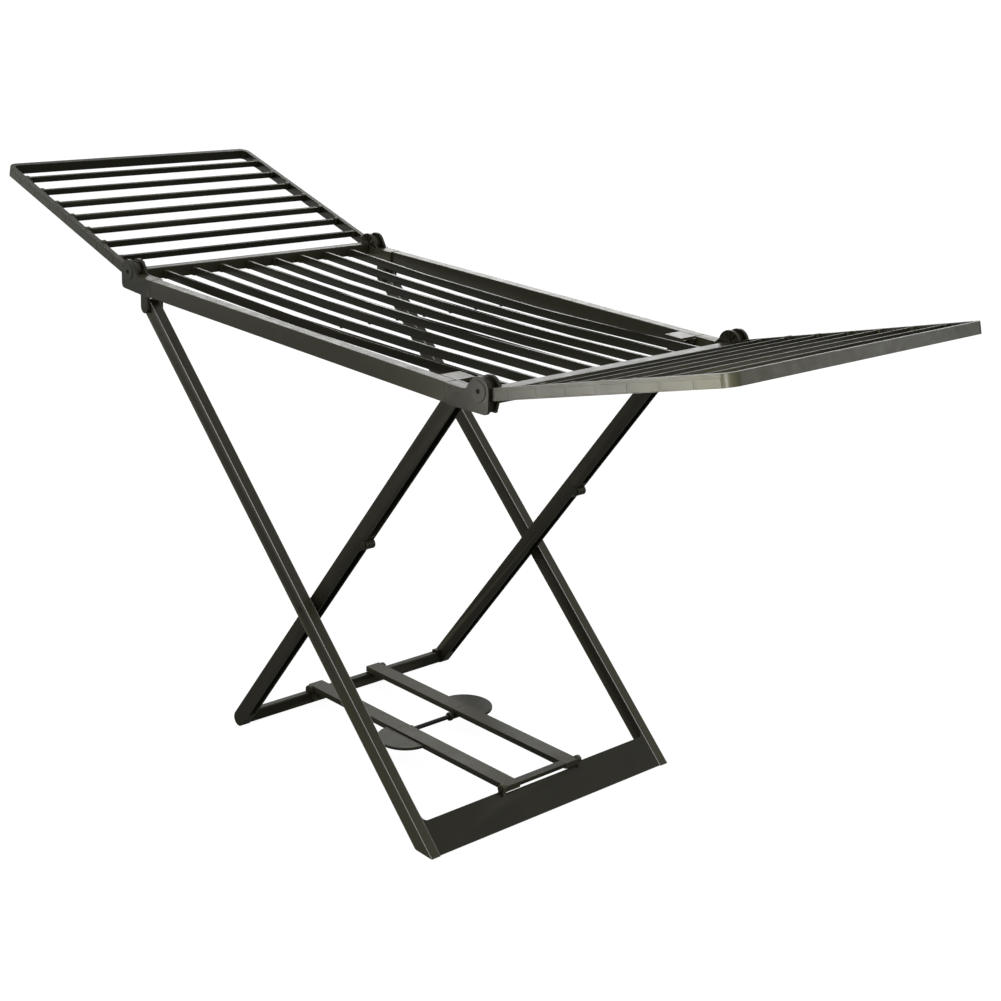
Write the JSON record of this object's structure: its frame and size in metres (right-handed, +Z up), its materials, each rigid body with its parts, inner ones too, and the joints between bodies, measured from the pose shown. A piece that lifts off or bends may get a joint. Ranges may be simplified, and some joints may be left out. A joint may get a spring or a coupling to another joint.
{
  "type": "clothes airer",
  "caption": "Free-standing X-frame folding clothes airer with a slatted deck, fold-over side wings, folding brace legs and a foot stretcher, in dark moulded plastic.",
  "frame": {"origin": "centre of the bounding box, on the floor", "axes": "+X along the deck and wings, +Y across the deck, +Z up; the main legs slope down towards +X"},
  "size_m": [1.789, 0.55, 0.887],
  "materials": {
    "frame_plastic": "charcoal satin moulded polypropylene",
    "pin_plastic": "black satin acetal"
  },
  "bodies": {
    "main_legs": {"main_leg_frame": "frame_plastic", "cross_pin_front": "pin_plastic", "cross_pin_back": "pin_plastic", "strut_lug_pin_front": "pin_plastic", "strut_lug_pin_back": "pin_plastic"},
    "deck": {"brace_socket_back": "frame_plastic", "brace_socket_front": "frame_plastic", "brace_top_pin_back": "pin_plastic", "brace_top_pin_front": "pin_plastic", "corner_bracket_left_back": "frame_plastic", "corner_bracket_left_front": "frame_plastic", "corner_bracket_right_back": "frame_plastic", "corner_bracket_right_front": "frame_plastic", "deck_end_bar_left": "frame_plastic", "deck_end_bar_right": "frame_plastic", "deck_pivot_pin_back": "pin_plastic", "deck_pivot_pin_front": "pin_plastic", "deck_rail_back": "frame_plastic", "deck_rail_front": "frame_plastic", "deck_slat_1": "frame_plastic", "deck_slat_2": "frame_plastic", "deck_slat_3": "frame_plastic", "deck_slat_4": "frame_plastic", "deck_slat_5": "frame_plastic", "deck_slat_6": "frame_plastic", "deck_slat_7": "frame_plastic", "deck_slat_8": "frame_plastic", "hinge_pin_left_back": "pin_plastic", "hinge_pin_left_front": "pin_plastic", "hinge_pin_right_back": "pin_plastic", "hinge_pin_right_front": "pin_plastic"},
    "wing_left": {"wing_left": "frame_plastic"},
    "wing_right": {"wing_right": "frame_plastic"},
    "brace_upper": {"brace_upper_front": "frame_plastic", "brace_upper_back": "frame_plastic"},
    "brace_lower": {"brace_lower_frame": "frame_plastic", "knee_pin_front": "pin_plastic", "knee_pin_back": "pin_plastic"},
    "stretcher_front": {"stretcher_front": "frame_plastic", "pedal_front": "frame_plastic"},
    "stretcher_rear": {"stretcher_rear_front": "frame_plastic", "stretcher_rear_back": "frame_plastic", "stretcher_axle": "pin_plastic", "pedal_back": "frame_plastic"}
  },
  "joints": [
    {"name": "deck_fold", "type": "hinge", "parent": "main_legs", "child": "deck", "pos_m": [-0.405, 0, 0.71], "axis": [0, 1, 0], "range_deg": [0, 42.46]},
    {"name": "wing_left_fold", "type": "hinge", "parent": "deck", "child": "wing_left", "pos_m": [-0.455, 0, 0.763], "axis": [0, 1, 0], "range_deg": [0, 164]},
    {"name": "wing_right_fold", "type": "hinge", "parent": "deck", "child": "wing_right", "pos_m": [0.455, 0, 0.763], "axis": [0, -1, 0], "range_deg": [0, 164]},
    {"name": "brace_top", "type": "hinge", "parent": "deck", "child": "brace_upper", "pos_m": [0.3716, 0, 0.7394], "axis": [0, 1, 0], "range_deg": [0, 53.32]},
    {"name": "knee", "type": "hinge", "parent": "brace_upper", "child": "brace_lower", "pos_m": [0.16909, 0, 0.44311], "axis": [0, -1, 0], "range_deg": [0, 180.02]},
    {"name": "stretcher_lug", "type": "hinge", "parent": "main_legs", "child": "stretcher_front", "pos_m": [0.34805, 0, 0.04573], "axis": [0, 1, 0], "range_deg": [0, 44.35]},
    {"name": "stretcher_middle", "type": "hinge", "parent": "stretcher_front", "child": "stretcher_rear", "pos_m": [0.06999, 0, 0.02864], "axis": [0, -1, 0], "range_deg": [0, 172.79]}
  ],
  "couplings": [
    {"joint": "brace_top", "follows": "deck_fold", "ratio": 1.2553},
    {"joint": "knee", "follows": "deck_fold", "ratio": 4.2393},
    {"joint": "stretcher_lug", "follows": "deck_fold", "ratio": 1.044},
    {"joint": "stretcher_middle", "follows": "deck_fold", "ratio": 4.0691}
  ]
}
